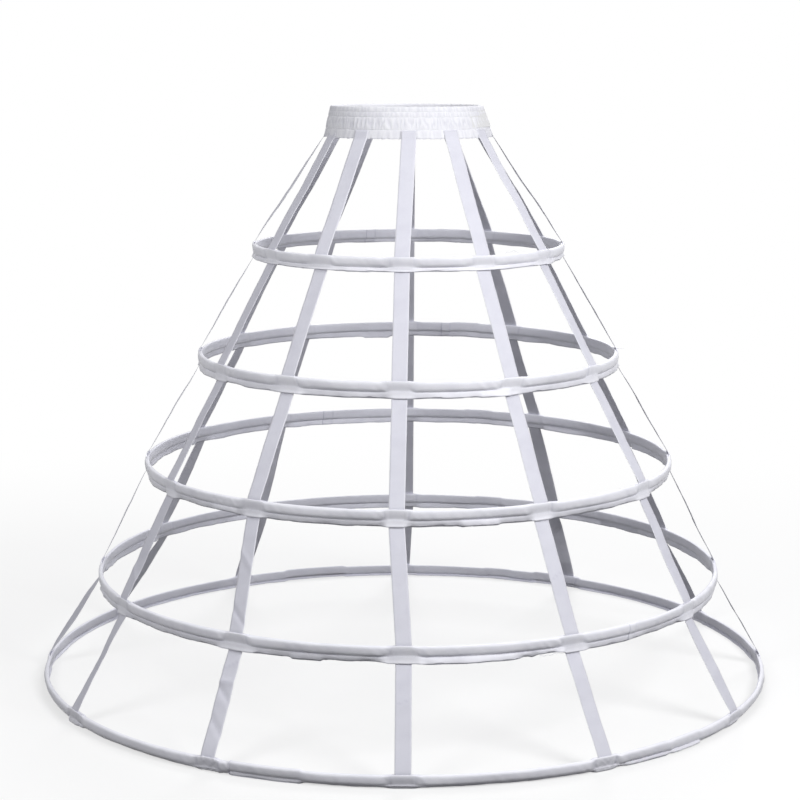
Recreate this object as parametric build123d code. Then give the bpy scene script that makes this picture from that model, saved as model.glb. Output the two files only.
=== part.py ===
from build123d import *
import os
from math import cos, pi, radians, sin, sqrt, tan

# Crinoline cage: a gathered elastic waistband, twelve ribbon tapes and five sprung hoops.
# Millimetres, +Z up, front towards -Y, +X to the right of someone who faces the front.
# The cage stands on its hem hoop, and the origin is the centre of that hoop on the floor.

# Straight stretches that each hoop is drawn with, a number that four divides
ring_sides = 48

# Hoops, counted down from the waist: radius to the outside of each casing
hoop_1_radius = 233.0
hoop_2_radius = 316.0
hoop_3_radius = 398.0
hoop_4_radius = 471.0
hoop_5_radius = 550.0

# Drops between the middles of the bones, and from the waistband's lower edge to the first bone
waist_drop = 164.0
drop_1_to_2 = 160.0
drop_2_to_3 = 160.0
drop_3_to_4 = 166.5
drop_4_to_5 = 148.5

# The waist and the upper hoops hang this far to the right of the hem hoop
cage_shift = 5.5

# Casings: a ribbon tube whose upper channel holds the bone, and a flat flange below its stitch line
fabric_wall = 0.8
channel_height = 13.5
channel_bulge = 1.0
flange_1_height = 7.0
flange_2_height = 11.0
flange_3_height = 11.0
flange_4_height = 11.0
flange_5_height = 6.2
flange_lean = 10.0
hem_flange_lean = -25.0
pinch_height = 1.6

# Bones: flat coated spring steel, closed into a ring by a crimped sleeve
bone_width = 8.5
bone_thickness = 1.2
bone_end_gap = 3.0
sleeve_length = 40.0
sleeve_wall = 0.5
sleeve_fit = 0.05
join_angle = 162.0

# Tapes: flat ribbon that runs inside the casings, outside the bones
tape_width = 22.0
tape_thickness = 0.8
tape_overlap = 12.0
tape_margin = 0.6

# Waistband: an oval band that narrows upwards, shirred in rows over an elastic
waist_low_width = 259.0
waist_high_width = 224.0
waist_low_depth = 208.0
waist_high_depth = 180.0
waistband_height = 45.5
hem_height = 12.5
row_spacing = 7.5
groove = 1.2
gather_count = 52
gather_depth = 1.4
gather_fill = 0.85
gather_waver = 0.25
gather_phase = 2.4
crest_width_share = 0.2
crest_length_share = 0.4
shirr_depth = 0.5
ruffle_depth = 0.6
elastic_height = 28.0
elastic_thickness = 1.4

# Clearances between pieces, and the closer one round a tape in the slots it passes through
clearance = 0.35
slot_clearance = 0.25

# Tape name, its place round the oval waist, and its angle at the three upper hoops, the fourth and the
# hem hoop. Angles are in degrees from the front, positive to the right, and as uneven as hand sewing.
tapes = [
    ("tape_front", 0.0, -2.4, -0.9, -0.3),
    ("tape_front_right", 30.0, 26.8, 27.7, 28.8),
    ("tape_right_front", 61.0, 57.0, 57.4, 58.0),
    ("tape_right", 90.0, 90.0, 90.0, 90.0),
    ("tape_right_back", 120.0, 117.5, 117.0, 116.5),
    ("tape_back_right", 150.0, 147.3, 147.5, 147.8),
    ("tape_back", 180.0, 180.0, 180.0, 180.0),
    ("tape_back_left", -151.0, -147.3, -147.7, -148.2),
    ("tape_left_back", -121.0, -122.0, -120.9, -119.5),
    ("tape_left", -90.0, -90.0, -90.0, -90.0),
    ("tape_left_front", -65.0, -59.0, -60.0, -58.2),
    ("tape_front_left", -34.0, -32.3, -29.7, -28.4),
]

hoop_radii = [hoop_1_radius, hoop_2_radius, hoop_3_radius, hoop_4_radius, hoop_5_radius]
flange_heights = [flange_1_height, flange_2_height, flange_3_height, flange_4_height, flange_5_height]
drops = [drop_1_to_2, drop_2_to_3, drop_3_to_4, drop_4_to_5]
hoop_count = len(hoop_radii)
half_channel = channel_height / 2


def bone_height(hoop: int) -> float:
    """Height of the middle of a hoop's bone, where hoop 0 is the uppermost."""
    return flange_heights[-1] + half_channel + sum(drops[hoop:])


waistband_base = bone_height(0) + waist_drop
elastic_inset = fabric_wall + shirr_depth + clearance


def elastic_span(room: float) -> tuple[float, float]:
    """Lower and upper edge of the elastic above the band's lower edge, with room beyond each."""
    middle = (hem_height + waistband_height) / 2
    half = elastic_height / 2 + room
    return middle - half, middle + half


def is_hem(hoop: int) -> bool:
    """True for the lowest hoop, which nothing pulls outwards and which closes the tapes' ends."""
    return hoop == hoop_count - 1


def hoop_shift(hoop: int) -> float:
    """How far a hoop's centre lies to the right of the hem hoop's."""
    return 0.0 if is_hem(hoop) else cage_shift


def flange_slope(hoop: int) -> float:
    """Outward run of a hoop's flange for each millimetre that it drops."""
    return tan(radians(hem_flange_lean if is_hem(hoop) else flange_lean))


class Layers:
    """Radii of the layers of one hoop from the outside in, each to the middle of its sides."""

    def __init__(self, hoop: int):
        self.outside = hoop_radii[hoop]
        self.seam = self.outside - channel_bulge
        self.outer_wall = self.seam - fabric_wall
        tape_corner = self.outer_wall - clearance
        self.tape_out = sqrt(tape_corner**2 - (tape_width / 2) ** 2)
        self.tape_middle = self.tape_out - tape_thickness / 2
        self.flange_wall = (self.tape_out - tape_thickness - clearance) * cos(pi / ring_sides)
        self.flange_inside = self.flange_wall - fabric_wall
        self.bone_out = self.flange_wall
        self.bone_in = self.bone_out - bone_thickness
        self.inner_wall = self.bone_in - sleeve_fit - sleeve_wall - clearance
        self.inside = self.inner_wall - fabric_wall


def hoop_place(hoop: int) -> Location:
    """Centre of a hoop at the height of its bone."""
    return Location((hoop_shift(hoop), 0, bone_height(hoop)))


def closed_face(corners: list) -> Face:
    """Flat face inside a ring of corners."""
    return make_face(Polyline(*corners, close=True))


def folded_solid(rings: list, sides: list) -> Solid:
    """Solid through rings of corners. Each side between two corners is folded flat along its diagonal."""
    faces = [closed_face(rings[0]), closed_face(rings[-1])]
    for upper, lower in zip(rings, rings[1:]):
        for first, second in sides:
            faces.append(closed_face([upper[first], upper[second], lower[second]]))
            faces.append(closed_face([upper[first], lower[second], lower[first]]))
    return Solid(Shell(faces)).clean()


def casing_profile(hoop: int) -> Sketch:
    """Section through a casing's cloth, in the plane that holds the hoop's axis."""
    layer = Layers(hoop)
    top = half_channel
    crease = -half_channel
    drop = flange_heights[hoop]
    lean = flange_slope(hoop) * drop
    outline = [
        (layer.inside, top),
        (layer.seam, top),
        (layer.outside, 0),
        (layer.seam, crease),
        (layer.seam + lean, crease - drop),
        (layer.flange_inside + lean, crease - drop),
        (layer.inside, crease + pinch_height),
    ]
    pocket_lean = flange_slope(hoop) * (drop - fabric_wall)
    pocket_floor = crease - drop + fabric_wall
    pocket = [
        (layer.inner_wall, top - fabric_wall),
        (layer.outer_wall, top - fabric_wall),
        (layer.outer_wall, crease),
        (layer.outer_wall + pocket_lean, pocket_floor),
        (layer.flange_wall + pocket_lean, pocket_floor),
        (layer.inner_wall, crease + pinch_height),
    ]
    return Plane.XZ * (closed_face(outline) - closed_face(pocket))


def make_ring(hoop: int, section: Sketch) -> Part:
    """A section in XZ taken round a hoop, in short straight runs."""
    start = section.center().X
    corner = start / cos(pi / ring_sides)
    steps = [2 * pi * (side + 0.5) / ring_sides for side in range(ring_sides)]
    path = Polyline((start, 0), *[(corner * cos(turn), corner * sin(turn)) for turn in steps], close=True)
    return hoop_place(hoop) * sweep(section, path=path, transition=Transition.RIGHT)


def strip_section(inner: float, outer: float, height: float) -> Sketch:
    """Section of a strip that stands on edge between two radii."""
    half = height / 2
    return Plane.XZ * closed_face([(inner, -half), (outer, -half), (outer, half), (inner, half)])


def join_block(hoop: int, length: float) -> Part:
    """Block over a length of a hoop's bone, centred where the bone's ends meet."""
    reach = 2 * channel_height
    return hoop_place(hoop) * Rot(0, 0, join_angle - 90) * Pos(Layers(hoop).bone_out, 0) * Box(reach, length, reach)


def oval_half(height: float) -> tuple[float, float]:
    """Half width and half depth of the waistband's outside at a height above its lower edge."""
    share = height / waistband_height
    width = waist_low_width + (waist_high_width - waist_low_width) * share
    depth = waist_low_depth + (waist_high_depth - waist_low_depth) * share
    return width / 2, depth / 2


def oval_point(height: float, angle: float, out: float) -> tuple[Vector, Vector]:
    """Point at an angle round the waistband, a distance outside it, and the way along the band."""
    half_width, half_depth = oval_half(height)
    turn = radians(angle)
    normal = Vector(half_depth * sin(turn), -half_width * cos(turn)).normalized()
    along = Vector(-normal.Y, normal.X)
    base = Vector(half_width * sin(turn) + cage_shift, -half_depth * cos(turn), waistband_base + height)
    return base + normal * out, along


def hoop_point(hoop: int, angle: float, radius: float, height: float) -> tuple[Vector, Vector]:
    """Point on a hoop at a radius and a height above its bone, and the way along the hoop."""
    turn = radians(angle)
    normal = Vector(sin(turn), -cos(turn))
    along = Vector(-normal.Y, normal.X)
    centre = Vector(hoop_shift(hoop), 0, bone_height(hoop) + height)
    return centre + normal * radius, along


def tape_stations(waist_angle: float, upper_angle: float, fourth_angle: float, hem_angle: float) -> list:
    """Places that a tape's middle line passes, from its sewn top to the hem."""
    out = clearance + tape_thickness / 2
    stations = [oval_point(tape_overlap, waist_angle, out), oval_point(0, waist_angle, out)]
    for hoop, angle in enumerate([upper_angle, upper_angle, upper_angle, fourth_angle, hem_angle]):
        radius = Layers(hoop).tape_middle
        drop = flange_heights[hoop]
        drop += -fabric_wall - clearance if is_hem(hoop) else tape_margin
        lean = flange_slope(hoop) * drop
        stations.append(hoop_point(hoop, angle, radius, half_channel + tape_margin))
        stations.append(hoop_point(hoop, angle, radius, -half_channel))
        stations.append(hoop_point(hoop, angle, radius + lean, -half_channel - drop))
    return stations


def make_tape(stations: list, grow: float) -> Solid:
    """Flat ribbon through its stations, grown all round for the slots that it passes through."""
    rings = []
    for point, along in stations:
        side = along * (tape_width / 2 + grow)
        wall = Vector(along.Y, -along.X) * (tape_thickness / 2 + grow)
        rings.append([point - side - wall, point + side - wall, point + side + wall, point - side + wall])
    return folded_solid(rings, [(0, 1), (3, 2), (0, 3), (1, 2)])


def make_casing(hoop: int, slots: list) -> Part:
    """Casing tube of one hoop, with the slots that its tapes pass through."""
    return make_ring(hoop, casing_profile(hoop)) - slots


def make_bone(hoop: int) -> Part:
    """Spring steel strip, open by the small gap between its ends."""
    layer = Layers(hoop)
    strip = make_ring(hoop, strip_section(layer.bone_in, layer.bone_out, bone_width))
    return strip - join_block(hoop, bone_end_gap)


def make_sleeve(hoop: int) -> Part:
    """Crimped sleeve over the two ends of a bone."""
    layer = Layers(hoop)
    rings = []
    for room in (sleeve_fit + sleeve_wall, sleeve_fit):
        section = strip_section(layer.bone_in - room, layer.bone_out + room, bone_width + 2 * room)
        rings.append(make_ring(hoop, section) & join_block(hoop, sleeve_length))
    return rings[0] - rings[1]


def oval_ring(height: float, inset: float) -> list:
    """Corners round the waistband at one height, set in from its outside, with a side for each gather."""
    steps = range(gather_count)
    return [oval_point(height, 360 * (step + 0.5) / gather_count, -inset)[0] for step in steps]


def oval_block(levels: list) -> Solid:
    """Block that follows the waistband through levels of a height and an inset each."""
    sides = [(step, (step + 1) % gather_count) for step in range(gather_count)]
    return folded_solid([oval_ring(*level) for level in levels], sides)


def oval_tube(low: float, high: float, outer: float, inner: float) -> Part:
    """Tube that follows the waistband between two heights, its walls set in by two insets."""
    return oval_block([(low, outer), (high, outer)]) - oval_block([(low, inner), (high, inner)])


def pucker(step: int, low: float, high: float) -> Part:
    """One gather of cloth that stands out of the band between two heights, uneven round the band."""
    angle = 360 * step / gather_count
    foot, along = oval_point(low, angle, -fabric_wall / 2)
    head = oval_point(high, angle, -fabric_wall / 2)[0]
    length = (head - foot).length
    width = gather_fill * pi * (waist_low_width + waist_low_depth) / 2 / gather_count
    swell = fabric_wall / 2 + gather_depth * (1 - gather_waver * (1 - sin(gather_phase * step)))
    side = width * (1 - crest_width_share) / 2
    end = length * (1 - crest_length_share) / 2
    block = Wedge(width, swell, length, side, end, width - side, length - end)
    place = Plane(origin=(foot + head) / 2, x_dir=along, z_dir=(head - foot).normalized())
    return place * Pos(0, -swell / 2, 0) * block


def make_waistband() -> Part:
    """Gathered band: stitched hem, swelling gathers, two shirred rows and a rolled top edge."""
    lower_row = waistband_height - row_spacing * 2
    upper_row = waistband_height - row_spacing
    levels = [(0, ruffle_depth), (groove, 0)]
    for row in (hem_height, lower_row, upper_row):
        levels += [(row - groove, 0), (row, shirr_depth), (row + groove, 0)]
    levels += [(waistband_height - groove, 0), (waistband_height, shirr_depth)]
    pocket_in = elastic_inset + elastic_thickness + clearance
    band = oval_block(levels) - oval_tube(*elastic_span(clearance), elastic_inset - clearance, pocket_in)
    band -= oval_block([(0, pocket_in + fabric_wall), (waistband_height, pocket_in + fabric_wall)])
    return band + [pucker(step, hem_height + groove, lower_row - groove) for step in range(gather_count)]


def make_elastic() -> Part:
    """Flat elastic that runs round inside the waistband's pocket."""
    return oval_tube(*elastic_span(0), elastic_inset, elastic_inset + elastic_thickness)


def main() -> None:
    """Build every piece and write each to a file of its own."""
    pieces = {"waistband": make_waistband(), "waist_elastic": make_elastic()}
    slots = []
    for name, *angles in tapes:
        stations = tape_stations(*angles)
        pieces[name] = make_tape(stations, 0)
        slots.append(make_tape(stations, slot_clearance))
    for hoop in range(hoop_count):
        pieces[f"hoop_casing_{hoop + 1}"] = make_casing(hoop, slots)
        pieces[f"hoop_bone_{hoop + 1}"] = make_bone(hoop)
        pieces[f"bone_sleeve_{hoop + 1}"] = make_sleeve(hoop)
    os.makedirs("parts", exist_ok=True)
    for name, shape in pieces.items():
        export_step(shape, f"parts/{name}.step")


main()
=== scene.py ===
"""A white five-hoop crinoline cage: a gathered waistband, ribbon tapes and hoops in sewn casings."""

import logging
import math
from collections.abc import Callable
from dataclasses import dataclass, field
from enum import Enum

import bmesh
import bpy
import numpy as np
from mathutils import Matrix, Vector


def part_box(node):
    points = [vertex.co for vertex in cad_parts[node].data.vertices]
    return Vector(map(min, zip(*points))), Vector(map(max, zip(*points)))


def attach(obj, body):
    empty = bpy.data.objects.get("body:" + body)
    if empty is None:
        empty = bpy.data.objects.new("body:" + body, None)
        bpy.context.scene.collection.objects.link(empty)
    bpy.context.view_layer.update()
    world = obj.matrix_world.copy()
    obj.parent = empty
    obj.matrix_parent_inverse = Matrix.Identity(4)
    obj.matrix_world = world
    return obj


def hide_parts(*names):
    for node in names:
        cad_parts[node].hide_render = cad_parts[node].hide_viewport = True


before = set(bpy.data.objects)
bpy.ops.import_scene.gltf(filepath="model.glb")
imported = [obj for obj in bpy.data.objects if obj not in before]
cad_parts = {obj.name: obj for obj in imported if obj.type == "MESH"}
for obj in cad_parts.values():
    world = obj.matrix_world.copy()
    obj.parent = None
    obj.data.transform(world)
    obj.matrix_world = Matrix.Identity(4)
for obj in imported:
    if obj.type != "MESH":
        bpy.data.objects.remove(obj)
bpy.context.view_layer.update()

MM = 0.001
FULL_TURN = 2 * math.pi
BODY = "root"
HOOP_COUNT = 5
TAPE_WIDTH = 22 * MM
# A casing's outside stands this far out from its bone's outside, over the tapes
CASING_DEPTH = 4.43 * MM
# The elastic pulls the sides of the band's lower edge in by this much, with the tapes sewn on it
BAND_PULL = 4.2 * MM

log = logging.getLogger("crinoline")

Shape = Callable[[np.ndarray, np.ndarray], tuple[np.ndarray, np.ndarray]]
Spread = Callable[[np.ndarray], np.ndarray]


# Shared sums


def linear(colour: str) -> tuple[float, float, float, float]:
    """Turn an sRGB hex colour into a scene-linear one.

    Args:
        colour: Six hex digits, such as E8E8F0.
    Returns:
        Red, green, blue and an alpha of 1.
    """
    parts = [int(colour[i:i + 2], 16) / 255 for i in (0, 2, 4)]
    light = [p / 12.92 if p <= 0.04045 else ((p + 0.055) / 1.055) ** 2.4 for p in parts]
    return light[0], light[1], light[2], 1.0


def smooth_step(value: np.ndarray) -> np.ndarray:
    """Ease from 0 to 1 as the value goes from 0 to 1, and hold outside that."""
    held = np.clip(value, 0.0, 1.0)
    return held * held * (3 - 2 * held)


def bell(value: np.ndarray, middle: float, reach: float) -> np.ndarray:
    """Smooth hump, 1 in its middle, that has all but died away two reaches from it."""
    return np.exp(-(((value - middle) / reach) ** 2))


def waves(turn: np.ndarray, count: float, seed: float | np.ndarray, skew: float | np.ndarray = 0.0) -> np.ndarray:
    """Smooth uneven wave from about -1 to 1 that closes on itself after a full turn.

    Args:
        turn: Angle round the piece, in radians.
        count: About how many crests a full turn has.
        seed: Any number; each gives another wave.
        skew: Extra phase, in radians of the main wave, such as one that leans with height.
    Returns:
        The wave's height at each angle.
    """
    total = np.zeros_like(turn)
    for step, (share, weight) in enumerate(((1.0, 0.5), (0.61, 0.34), (1.58, 0.27), (2.36, 0.12))):
        phase = seed * (step + 1) * 2.399
        total = total + weight * np.sin(round(count * share) * turn + phase + share * skew)
    return total


@dataclass(frozen=True)
class Wrinkle:
    """Uneven wave along a strip of cloth.

    Args:
        height: Of its crests, in millimetres, or as a share of what it changes.
        spacing: From crest to crest, in metres.
        seed: Any number; each gives another wave.
    """

    height: float
    spacing: float
    seed: float

    def along(
        self, turn: np.ndarray, length: float, number: int, shift: float | np.ndarray = 0.0,
        skew: float | np.ndarray = 0.0,
    ) -> np.ndarray:
        """Height of the wave along one strip.

        Args:
            turn: Places along the strip, where a full turn is its whole length, in radians.
            length: Of the strip, in metres.
            number: Of the strip; each has its own wave.
            shift: Added to the seed, such as one for each side of the cloth.
            skew: Extra phase, in radians.
        Returns:
            The height at each place.
        """
        return self.height * waves(turn, length / self.spacing, self.seed * number + shift, skew)


def smooth_curve(corners: list[tuple[float, float]], steps: int = 6) -> np.ndarray:
    """Run a smooth curve through the corners of a section.

    Args:
        corners: Places that the curve passes, in order.
        steps: Points from each corner to the next.
    Returns:
        The curve's points.
    """
    line = np.array([corners[0], *corners, corners[-1]], float)
    found = []
    for start in range(len(corners) - 1):
        before, a, b, after = line[start:start + 4]
        for share in np.arange(steps) / steps:
            found.append(
                0.5 * (2 * a + (b - before) * share + (2 * before - 5 * a + 4 * b - after) * share**2
                       + (3 * a - before - 3 * b + after) * share**3)
            )
    return np.array([*found, line[-1]])


def path_marks(path: np.ndarray) -> np.ndarray:
    """Distance of each point of a path from its start."""
    return np.concatenate([[0.0], np.cumsum(np.linalg.norm(np.diff(path, axis=0), axis=1))])


def on_path(at: np.ndarray, marks: np.ndarray, path: np.ndarray) -> np.ndarray:
    """Places on a path, at distances between the marks of its own points."""
    return np.stack([np.interp(at, marks, path[:, axis]) for axis in range(path.shape[1])], axis=1)


def along_curve(curve: np.ndarray, share: np.ndarray) -> np.ndarray:
    """Points at shares, from 0 to 1, of the way along a curve's list of points."""
    return on_path(share * (len(curve) - 1), np.arange(len(curve)), curve)


def node_points(name: str) -> np.ndarray:
    """Corners of a node's own solid, in metres."""
    return np.array([vert.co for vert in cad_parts[name].data.vertices], float)


# Cloth and thread as meshes


@dataclass(frozen=True)
class Cut:
    """A strip of cloth before it is sewn.

    Args:
        length: Along the strip, in metres.
        width: Across the strip, in metres.
        steps: Faces along and across.
        thickness: Of the cloth, in metres.
    """

    length: float
    width: float
    steps: tuple[int, int]
    thickness: float


def close_mesh(name: str, bm: bmesh.types.BMesh, material: bpy.types.Material) -> bpy.types.Mesh:
    """Turn a bmesh into a smooth mesh of one material.

    Args:
        name: The mesh's name.
        bm: The bmesh, which is freed.
        material: Of the whole mesh.
    Returns:
        The mesh.
    """
    for face in bm.faces:
        face.smooth = True
    mesh = bpy.data.meshes.new(name)
    bm.to_mesh(mesh)
    bm.free()
    mesh.materials.append(material)
    return mesh


def add_piece(name: str, mesh: bpy.types.Mesh) -> bpy.types.Object:
    """Add a mesh to the scene as a piece that rides on the cage.

    Args:
        name: The piece's name.
        mesh: Its mesh, already in its place.
    Returns:
        The piece.
    """
    piece = bpy.data.objects.new(name, mesh)
    bpy.context.scene.collection.objects.link(piece)
    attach(piece, BODY)
    return piece


def sew(
    name: str, cut: Cut, shape: Shape, material: bpy.types.Material, spread: Spread | None = None
) -> bpy.types.Object:
    """Lay a flat strip of cloth in space, close the edges that meet and give it its thickness.

    Args:
        name: The piece's name.
        cut: The flat strip.
        shape: Takes shares along and across the strip, and gives points and how much painted shade each gets.
        material: The cloth's material.
        spread: Moves the even steps along the strip closer together where it is wrinkled.
    Returns:
        The finished piece.
    """
    bm = bmesh.new()
    bmesh.ops.create_grid(bm, x_segments=cut.steps[0], y_segments=cut.steps[1], size=0.5)
    flat = bm.loops.layers.uv.new("Flat")
    # Painted shade, from 0 to 1, kept on each point, which greys the cloth's colour
    fold = bm.verts.layers.float.new("FoldShade")
    shares = np.array([vert.co[:2] for vert in bm.verts]) + 0.5
    if spread:
        shares[:, 0] = spread(shares[:, 0])
    bm.verts.index_update()
    for face in bm.faces:
        for loop in face.loops:
            along, across = shares[loop.vert.index]
            loop[flat].uv = (along * cut.length, across * cut.width)
    points, depths = shape(shares[:, 0], shares[:, 1])
    for vert, point, depth in zip(bm.verts, points.tolist(), depths.tolist()):
        vert.co = point
        vert[fold] = depth
    bmesh.ops.remove_doubles(bm, verts=bm.verts, dist=MM / 1000)
    piece = add_piece(name, close_mesh(name, bm, material))
    wall = piece.modifiers.new("Cloth", "SOLIDIFY")
    wall.thickness = cut.thickness
    wall.offset = 0.0
    wall.use_even_offset = False
    return piece


@dataclass(frozen=True)
class Stitch:
    """One kind of stitch, a short thread that dips into the cloth at its ends.

    Args:
        length: In metres.
        gap: To the next stitch, in metres; where negative, they overlap into one thread.
        radius: Of the thread, in metres.
    """

    length: float
    gap: float
    radius: float


def seam_spots(line: np.ndarray, stitch: Stitch, closed: bool) -> list[Matrix]:
    """Space stitches evenly along a seam.

    Args:
        line: Points along the seam.
        stitch: The kind of stitch.
        closed: Whether the seam runs all the way round.
    Returns:
        Each stitch's place, turn and size.
    """
    path = np.vstack([line, line[:1]]) if closed else line
    marks = path_marks(path)
    count = max(1, int(marks[-1] / (stitch.length + stitch.gap)))
    starts = np.arange(count) * marks[-1] / count
    spots = []
    for start, tip in zip(on_path(starts, marks, path), on_path(starts + stitch.length, marks, path)):
        way = Vector(tip - start)
        turned = way.to_track_quat("Z", "Y").to_matrix().to_4x4()
        scale = Matrix.Diagonal((stitch.radius, stitch.radius, way.length / 2, 1.0))
        spots.append(Matrix.Translation(Vector((start + tip) / 2)) @ turned @ scale)
    return spots


def sew_seams(
    name: str, lines: list[np.ndarray], stitch: Stitch, material: bpy.types.Material, closed: bool = True
) -> bpy.types.Object:
    """Sew seams along lines of points on the cloth's surface, as one piece.

    Args:
        name: The piece's name.
        lines: Points along each seam.
        stitch: The kind of stitch.
        material: The thread's material.
        closed: Whether the seams run all the way round.
    Returns:
        The finished piece.
    """
    bm = bmesh.new()
    bmesh.ops.create_uvsphere(bm, u_segments=5, v_segments=4, radius=1.0)
    pattern = np.array([[*vert.co, 1.0] for vert in bm.verts])
    faces = [[vert.index for vert in face.verts] for face in bm.faces]
    bm.free()
    spots = [spot for line in lines for spot in seam_spots(line, stitch, closed)]
    points = np.concatenate([pattern @ np.array(spot).T for spot in spots])[:, :3]
    size = len(pattern)
    loops = [[corner + size * number for corner in face] for number in range(len(spots)) for face in faces]
    mesh = bpy.data.meshes.new(name)
    mesh.from_pydata(points.tolist(), [], loops)
    mesh.materials.append(material)
    mesh.shade_smooth()
    return add_piece(name, mesh)


# Sizes read from the frame


@dataclass
class Hoop:
    """One hoop of the cage, counted down from the waist.

    Args:
        number: From 1, at the top.
        centre: Of the ring, on the floor.
        radius: Of the casing's outside, in metres.
        bone_height: Of the bone's middle, in metres.
        top: Of the casing, in metres.
        bottom: Of the casing, in metres.
    """

    number: int
    centre: Vector = field(init=False)
    radius: float = field(init=False)
    bone_height: float = field(init=False)
    top: float = field(init=False)
    bottom: float = field(init=False)

    def __post_init__(self) -> None:
        low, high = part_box(f"hoop_casing_{self.number}")
        bone_low, bone_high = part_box(f"hoop_bone_{self.number}")
        self.centre = Vector(((low.x + high.x) / 2, (low.y + high.y) / 2, 0.0))
        self.bone_height = (bone_low.z + bone_high.z) / 2
        self.top, self.bottom = high.z, low.z
        self.radius = (bone_high.x - bone_low.x) / 2 + CASING_DEPTH

    @property
    def is_hem(self) -> bool:
        """Whether it is the lowest hoop."""
        return self.number == HOOP_COUNT

    @property
    def length(self) -> float:
        """Way round it, in metres."""
        return FULL_TURN * self.radius

    def arc(self, turn: np.ndarray, middle: float) -> np.ndarray:
        """Distance round the hoop from each angle to one angle, in metres."""
        return np.abs((turn - middle + math.pi) % FULL_TURN - math.pi) * self.radius

    def around(self, turn: np.ndarray, out: float | np.ndarray, height: np.ndarray) -> np.ndarray:
        """Points at angles round the hoop, by their way out from its casing and their height, in metres."""
        radius = self.radius + out
        return np.stack([self.centre.x + radius * np.sin(turn), self.centre.y - radius * np.cos(turn), height], axis=1)


HOOPS = [Hoop(number) for number in range(1, HOOP_COUNT + 1)]
TAPE_NAMES = sorted(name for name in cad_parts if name.startswith("tape_"))


@dataclass
class TapeRoute:
    """Middle line of a tape and the way across it, read from its node in the frame.

    Args:
        node: The tape's name.
        centres: Points of the middle line, from the top.
        sides: Way across the tape at each of them.
        marks: Distance of each from the top, in metres.
    """

    node: str
    centres: np.ndarray = field(init=False)
    sides: np.ndarray = field(init=False)
    marks: np.ndarray = field(init=False)

    def __post_init__(self) -> None:
        spots = node_points(self.node)
        centres, sides = [], []
        for level in np.unique(np.round(spots[:, 2], 4))[::-1]:
            ring = spots[np.abs(spots[:, 2] - level) < 0.2 * MM]
            ring = np.unique(np.round(ring, 6), axis=0)
            centre = (ring.max(axis=0) + ring.min(axis=0)) / 2
            across = np.linalg.svd(ring[:, :2] - ring[:, :2].mean(axis=0))[2][0]
            out = centre[:2] - np.array(HOOPS[0].centre[:2])
            if across[0] * -out[1] + across[1] * out[0] < 0:
                across = -across
            centres.append(centre)
            sides.append([*across, 0.0])
        self.centres, self.sides = np.array(centres), np.array(sides)

        # The elastic pulls the tops at the band's sides in, and the pull dies away down the tape
        away = (self.centres[0][0] - HOOPS[0].centre.x) / (110 * MM)
        pulled = smooth_step((self.centres[:, 2] - self.centres[0][2] + 90 * MM) / (70 * MM))
        self.centres[:, 0] -= BAND_PULL * away * pulled
        self.marks = path_marks(self.centres)

    @property
    def length(self) -> float:
        """Of the tape, in metres."""
        return float(self.marks[-1])

    def at(self, distance: np.ndarray) -> tuple[np.ndarray, np.ndarray, np.ndarray]:
        """Find how the tape lies at distances from its top.

        Args:
            distance: Down the tape, in metres.
        Returns:
            Points of the middle line, the ways across the tape there, and its outward normals.
        """
        centre = on_path(distance, self.marks, self.centres)
        side = on_path(distance, self.marks, self.sides)
        side /= np.linalg.norm(side, axis=1)[:, None]
        room = 4 * MM
        down = on_path(distance + room, self.marks, self.centres) - on_path(distance - room, self.marks, self.centres)
        normal = np.cross(down, side)
        normal /= np.linalg.norm(normal, axis=1)[:, None]
        return centre, side, normal

    def angle_at(self, hoop: Hoop) -> float:
        """Angle at which the tape crosses a hoop, in radians from the front, positive to the right."""
        x, y = (float(np.interp(-hoop.bone_height, -self.centres[:, 2], self.centres[:, axis])) for axis in (0, 1))
        return math.atan2(x - hoop.centre.x, -(y - hoop.centre.y))


# Finishes


class Weave(Enum):
    """How a cloth is woven: how its ribs and its threads across them join, and how much the threads show."""

    SATIN = ("ADD", 0.35)
    RIBBED = ("ADD", 0.3)
    PLAIN = ("MULTIPLY", 1.0)


@dataclass(frozen=True)
class ClothFinish:
    """Look of one cloth.

    Args:
        name: Name of the material, after the real stuff.
        colour: Colour of the open cloth, sRGB hex.
        shade: Darker colour, sRGB hex: painted shade in its folds, and the cloth's own tone in its random drifts and
            slub specks.
        weave: How it is woven.
        rib: Distance between its ribs or threads along the strip, in metres.
        thread: Distance between its threads across the strip, in metres.
        relief: Height of the ribs, in metres.
        roughness: Of the surface.
        sheen: Strength of the soft edge light of its fibres.
        width: Of a ribbon with woven edges, in metres, or 0 for cloth without them.
        edge: Width of each woven edge, in metres.
    """

    name: str
    colour: str
    shade: str
    weave: Weave
    rib: float
    thread: float
    relief: float
    roughness: float
    sheen: float
    width: float = 0.0
    edge: float = 1.3 * MM


# Polyester satin ribbon, woven with long floats: the eye sees a smooth soft gloss, and hardly any threads.
# Its real threads lie 0.12 mm apart, too fine to show, so they are drawn coarser.
SATIN = ClothFinish(
    "satin_ribbon", "F3F3FA", "D2D2DF", Weave.SATIN, 0.45 * MM, 0.3 * MM, 0.006 * MM, 0.46, 0.15
)
# Polyester grosgrain ribbon, woven with thick ribs across it, at their real spacing: the eye sees a matt band,
# with fine lines across and paler edges.
GROSGRAIN = ClothFinish(
    "grosgrain_ribbon", "DFDFE9", "C9C8D6", Weave.RIBBED, 0.95 * MM, 0.32 * MM, 0.03 * MM, 0.7, 0.2, TAPE_WIDTH
)
# Cotton lawn, plain woven and bleached: the eye sees matt folds with soft grey valleys. Its real threads lie
# 0.25 mm apart, too fine to show, so they are drawn coarser.
COTTON = ClothFinish(
    "gathered_cotton", "F2F2F7", "CFCFDB", Weave.PLAIN, 0.5 * MM, 0.5 * MM, 0.04 * MM, 0.8, 0.25
)
EDGE_COLOUR = "F6F6FB"


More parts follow.
